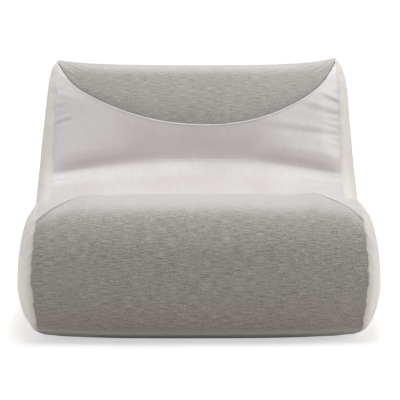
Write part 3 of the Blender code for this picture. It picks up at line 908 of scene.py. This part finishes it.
BASE_CLOTH = speckled("black_base_cloth", (0.012, 0.012, 0.013), (0.05, 0.05, 0.052), 900, 0.9,
                      0.0004)
WADDING = speckled("white_wadding", (0.70, 0.70, 0.68), (0.92, 0.92, 0.90), 260, 0.95, 0.001)
FIRM_FOAM = speckled("firm_blue_foam", (0.30, 0.42, 0.55), (0.55, 0.68, 0.80), 700, 0.95,
                     0.0006, cells=True)
MEDIUM_FOAM = speckled("medium_yellow_foam", (0.66, 0.62, 0.38), (0.90, 0.87, 0.64), 700, 0.95,
                       0.0006, cells=True)
SOFT_FOAM = speckled("soft_cream_foam", (0.78, 0.75, 0.66), (0.95, 0.93, 0.87), 800, 0.95,
                     0.0006, cells=True)
TAPE = speckled("black_zip_tape", (0.012, 0.012, 0.012), (0.06, 0.06, 0.06), 1500, 0.85, 0.0002)
ZIP_PLASTIC = speckled("grey_zip_plastic", (0.40, 0.39, 0.37), (0.60, 0.59, 0.56), 400, 0.45,
                       0.00005)


def zip_metal():
    """Nickel with fine scratches along it, which roughen it too."""
    made, start = finish_for("nickel_zip_metal", 0.3, metallic=1.0)
    scratch = start.node("ShaderNodeMapping", {"Vector": start.on_object(),
                                               "Scale": (300, 2500, 2500)})
    scratch = start.node("ShaderNodeTexNoise", {"Vector": scratch, "Scale": 1.0, "Detail": 4.0})
    colour = scratch.mix((0.50, 0.49, 0.47), (0.74, 0.73, 0.71))
    feed(made, colour, roughness=scratch * 0.25 + 0.2, height=scratch,
         distance=0.00003, strength=0.4)
    return made


ZIP_METAL = zip_metal()

# %% Put the finishes on
FINISHES = {"grey_weave": GREY, "white_rib": WHITE, "cream_cloth": CREAM,
            "base_cloth": BASE_CLOTH}
SLOTS = {"seat_panel": "grey_weave", "back_panel": "white_rib", "head_panel": "grey_weave",
         "rear_panel": "grey_weave", "hem_panel": "grey_weave", "left_side_panel": "cream_cloth",
         "right_side_panel": "cream_cloth", "base_panel": "base_cloth"}
for name, slot in SLOTS.items():
    COVER[name].data.materials.append(FINISHES[slot])
    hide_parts(name.replace("_panel", "_cover"))
    name != "base_panel"
print(len(SLOTS), "panels have their finish")

# %% [markdown]
# ## Wadding and foam
# Nobody sees these until the cover comes off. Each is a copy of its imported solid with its
# loose triangles joined and cut finer, moved in as far as the cloth above it is pulled in, so
# that a fold never cuts into it. A simulation isn't needed for what only has to stay inside.

# %% Where the inner pieces have to move in
PACKED_BULGE = 0.097
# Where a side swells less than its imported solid, its foam is moved in by what it lacks.
LACK = {side: np.minimum(SIDE_BULGE * swell_of(side) - PACKED_BULGE * SWELL, 0).ravel()
        for side in (-1, 1)}


def nearest(places, points, group=500):
    """The index of the place closest to each point, seen from the side."""
    parts = np.array_split(points, len(points) // group + 1)
    return np.concatenate([((places[None] - part[:, None, 1:]) ** 2).sum(-1).argmin(1)
                           for part in parts])


def moved_in(points):
    """Points under the cover, moved in by the folds above them. Depth makes them fade."""
    near = nearest(LINE, points)
    share = LINE_LENGTHS[near] / LENGTH
    depth = np.linalg.norm(LINE[near] - points[:, 1:], axis=1)
    across = np.clip(points[:, 0] / (table(WIDTH_SHARES, share) * SEAM_WIDTH / 2), -1, 1)
    pull = np.maximum(fold_depth(share, across) + 0.002, 0) * np.exp(-depth / 0.05)
    points[:, 1:] -= line_point(share)[1] * pull[:, None]
    flat = FLAT[..., 1:].reshape(-1, 2)
    for side in (-1, 1):
        chosen = np.flatnonzero(points[:, 0] * side > 0.25)
        if not len(chosen):
            continue
        near = nearest(flat, points[chosen])
        reach = smooth_step(0.25, 0.42, np.abs(points[chosen, 0]))
        points[chosen, 0] += side * reach * (LACK[side][near] - 0.0015)
    return points


print("a side's foam moves in by up to", round(float(-LACK[1].min()) * 1000, 1), "mm")

# %% Dress the inner pieces
GRADES = {"base_foam": "firm_foam", "front_roll_foam": "medium_foam",
          "seat_core_foam": "medium_foam", "back_foam": "medium_foam"}
FILLINGS = {"wadding": WADDING, "firm_foam": FIRM_FOAM, "medium_foam": MEDIUM_FOAM,
            "soft_foam": SOFT_FOAM}
inner_nodes = [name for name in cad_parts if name.endswith(("wadding", "foam"))]
for name in inner_nodes:
    slot = "wadding" if name.endswith("wadding") else GRADES.get(name, "soft_foam")
    mesh = bmesh.new()
    mesh.from_mesh(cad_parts[name].data)
    bmesh.ops.remove_doubles(mesh, verts=mesh.verts[:], dist=0.00003)
    bmesh.ops.subdivide_edges(mesh, edges=mesh.edges[:], cuts=2, use_grid_fill=True)
    for face in mesh.faces:
        face.smooth = True
    data = mesh_data(name + "_block", mesh)
    points = np.empty(len(data.vertices) * 3)
    data.vertices.foreach_get("co", points)
    data.vertices.foreach_set("co", moved_in(points.reshape(-1, 3)).ravel())
    data.set_sharp_from_angle(angle=math.radians(40))
    data.materials.append(FILLINGS[slot])
    made = placed(name + "_block", data)
    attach(made, "chair")
    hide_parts(name)
print(len(inner_nodes), "inner pieces")

# %% [markdown]
# ## Piping in the head seam
# A thin pale cord is sewn into the seam under the head. It catches the light as one bright
# line, with a dark line above it where the head swells over it. A curve with a round section
# is the simplest way to follow a seam.

# %% Make the piping
PIPING_OUT, PIPING_LOWER = 0.0018, 0.0002


def thread(name, route, radius, resolution):
    """A curve along a route of points, with a round section."""
    curve = bpy.data.curves.new(name, "CURVE")
    curve.dimensions = "3D"
    curve.bevel_depth, curve.bevel_resolution = radius, resolution
    curve.use_fill_caps = True
    spline = curve.splines.new("POLY")
    spline.points.add(len(route) - 1)
    spline.points.foreach_set("co", np.c_[route, np.ones(len(route))].ravel())
    length = np.linalg.norm(np.diff(route, axis=0), axis=1).sum()
    print(name, round(float(length), 3), "m long")
    return placed(name, curve)


def piping():
    """The cord, a little out of the skin and a little under the seam's line."""
    across = np.sin(np.linspace(-0.5, 0.5, 181) * np.pi) * EDGE * 0.997
    route = skin(head_seam(across) - PIPING_LOWER, across, -PIPING_OUT)
    return thread("head_piping", route, PIPING_RADIUS, 2)


def piping_finish():
    """White thread with a bead every 6 mm, as it winds round the cord."""
    made, start = finish_for("white_piping_thread", 0.7, sheen=0.3)
    across = start.on_object().part(0)
    bead = start.math("SINE", across * (2 * math.pi / 0.006))
    colour = (bead * 0.5 + 0.5).mix((0.92, 0.91, 0.90), (0.99, 0.98, 0.97))
    feed(made, colour, height=bead, distance=0.0006, strength=0.8)
    return made


PIPING = piping()
PIPING.data.materials.append(piping_finish())
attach(PIPING, "chair")
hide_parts("head_seam_piping")

# %% [markdown]
# ## The zip
# The cover comes off by a long nylon zip low on the back. Its coil is one thread wound in a
# flat spiral, so it is a curve with a round section. Its tapes are strips of cloth. The metal
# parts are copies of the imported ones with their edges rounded, and the slider and the pull
# keep their own bodies, so that they move.

# %% Where the zip lies
POINT, OUT = (Vector((0, *value)) for value in line_point(ZIP_SHARE))
UP = Vector((0, -OUT.z, OUT.y))
LOW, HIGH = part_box("zip_coil")
COIL_HALF = (HIGH[0] - LOW[0]) / 2
COIL_HEIGHT, THREAD = 0.002, 0.00032
TAPE_THICKNESS, TAPE_SUNK = 0.0006, 0.0005


def on_zip(along, up, out):
    """A point of the zip: along its length, up the cover across it, and out of the cover."""
    return Vector((along, 0, 0)) + POINT + UP * up + OUT * out


print(f"the zip is {2 * COIL_HALF:.3f} m long and {POINT.z:.3f} m over the floor")


# %% Wind the coil
def coil(turns=360, steps=8):
    """One thread in a flat spiral, by its turns and the points of each."""
    half, route = COIL_HALF - 2 * THREAD, []
    for index in range(turns * steps + 1):
        part, angle = index / (turns * steps), index / steps * 2 * math.pi
        up = (COIL_WIDTH / 2 - THREAD) * math.cos(angle)
        out = (COIL_HEIGHT / 2 - THREAD) * math.sin(angle) - COIL_HEIGHT / 2
        route.append(on_zip(-half + 2 * half * part, up, out))
    return thread("nylon_coil", route, THREAD, 0)


COIL = coil()
COIL.data.materials.append(ZIP_PLASTIC)
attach(COIL, "chair")
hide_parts("zip_coil")


# %% Cut the tapes
def tape(name, side):
    """A strip of tape beside the coil. Past the coil's ends the two tapes close up."""
    end = float(table(WIDTH_SHARES, ZIP_SHARE)) * SEAM_WIDTH / 2 - 0.001
    far = COIL_WIDTH / 2 + ZIP_GAP + TAPE_WIDTH

    def place(over, down):
        along = end * (2 * over - 1)
        closed = smooth_step(COIL_HALF + 0.001, COIL_HALF + 0.008, np.abs(along))
        near = COIL_WIDTH / 2 + ZIP_GAP - closed * (COIL_WIDTH / 2 + 0.0002)
        up = side * (near + (far - near) * down)
        out = -TAPE_SUNK - 0.0002 * np.cos(down * math.pi * 4)
        return np.array([on_zip(*each) for each in zip(along, up, out)])

    made = cloth_piece(name + "_strip", 240, 8, place, sized(2 * end, TAPE_WIDTH),
                       thickness=TAPE_THICKNESS)
    made.data.materials.append(TAPE)
    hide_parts(name)


tape("upper_zip_tape", 1)
tape("lower_zip_tape", -1)


# %% Round the metal parts
def rounded(name, body, offset=0.0002):
    """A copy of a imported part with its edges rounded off."""
    mesh = bmesh.new()
    mesh.from_mesh(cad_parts[name].data)
    bmesh.ops.remove_doubles(mesh, verts=mesh.verts[:], dist=0.000001)
    bmesh.ops.dissolve_limit(mesh, angle_limit=math.radians(1), verts=mesh.verts[:],
                             edges=mesh.edges[:])
    bmesh.ops.bevel(mesh, geom=mesh.edges[:], offset=offset, segments=2, profile=0.5,
                    affect="EDGES", material=-1)
    data = mesh_data(name + "_metal", mesh)
    data.shade_smooth()
    data.set_sharp_from_angle(angle=math.radians(50))
    data.materials.append(ZIP_METAL)
    made = placed(name + "_metal", data)
    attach(made, body)
    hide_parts(name)
    print(name, len(data.polygons), "faces")


for name, body in (("zip_start_stop", "chair"), ("zip_end_stop", "chair"),
                   ("zip_slider", "slider"), ("zip_pull", "pull")):
    rounded(name, body)

# %% [markdown]
# ## Floor, light and camera
# A white studio floor under a large soft light from above, two paler ones from the sides and
# little from the front, so that the tops glow and the front falls into shade. The floor glows
# too, because a photograph like this is cut out on white, and light linking keeps that glow
# off the chair. The camera stands nearly five metres away, with a long lens, and looks down.

# %% Floor
def floor(size=60):
    """A floor whose glow grows away from the chair. It lights nothing but itself."""
    mesh = bmesh.new()
    bmesh.ops.create_grid(mesh, x_segments=1, y_segments=1, size=size)
    data = mesh_data("studio_floor", mesh)
    made = placed("studio_floor", data)
    finish, start = finish_for("white_floor", 0.9)
    inputs = finish.node_tree.nodes["Principled BSDF"].inputs
    inputs["Base Color"].default_value = (0.65, 0.63, 0.60, 1)
    inputs["Specular IOR Level"].default_value = 0.0
    away = start.node("ShaderNodeVectorMath", {0: start.on_object()}, output=1,
                      operation="LENGTH")
    glow = away.step(0.5, 2.2).mix((0.56, 0.56, 0.565), (0.90, 0.91, 0.93))
    start.tree.links.new(glow.socket, inputs["Emission Color"])
    inputs["Emission Strength"].default_value = 1.0
    data.materials.append(finish)
    lit = bpy.data.collections.new("lit_by_floor")
    lit.objects.link(made)
    made.light_linking.receiver_collection = lit
    print("a floor of", 2 * size, "m")


floor()

# %% Light
def area_light(name, place, aim, size, power):
    """A rectangular light, by its place and aim in metres, its two sizes and its watts."""
    light = bpy.data.lights.new(name, "AREA")
    light.shape = "RECTANGLE"
    light.size, light.size_y = size
    light.energy = power
    made = placed(name, light)
    made.location = place
    made.rotation_euler = (Vector(aim) - Vector(place)).to_track_quat("-Z", "Y").to_euler()
    print(name, power, "W")


area_light("top_light", (0.1, -0.03, 3.2), (0, 0, 0.2), (2.8, 1.5), 75)
area_light("left_light", (-3.2, 0, 0.45), (0, 0, 0.15), (2.0, 1.2), 33)
area_light("right_light", (3.2, 0, 0.5), (0, 0, 0.15), (2.0, 1.2), 39)

# %% Sky, bright near the horizon and dim overhead
world = bpy.data.worlds.new("studio")
bpy.context.scene.world = world
world.use_nodes = True
sky = Link(world.node_tree, None)
height = sky.node("ShaderNodeTexCoord").part(2)
shade = height.step(0.11, 0.18).mix((0.94, 0.94, 0.94), (0.19, 0.19, 0.19))
world.node_tree.links.new(shade.socket, world.node_tree.nodes["Background"].inputs["Color"])
bpy.context.scene.view_settings.view_transform = "Standard"
print("a sky of", len(world.node_tree.nodes), "nodes")

# %% Camera
LOOKS_DOWN, LOOKS_RIGHT = 0.1299, 0.0114
lens = bpy.data.cameras.new("camera")
lens.sensor_width, lens.lens, lens.clip_end = 36, 161.28, 200
camera = placed("camera", lens)
camera.location = (-0.05, -4.85, 0.938)
camera.rotation_euler = (math.pi / 2 - LOOKS_DOWN, 0, -LOOKS_RIGHT)
bpy.context.scene.camera = camera
print("the camera looks down by", round(math.degrees(LOOKS_DOWN), 1), "degrees")
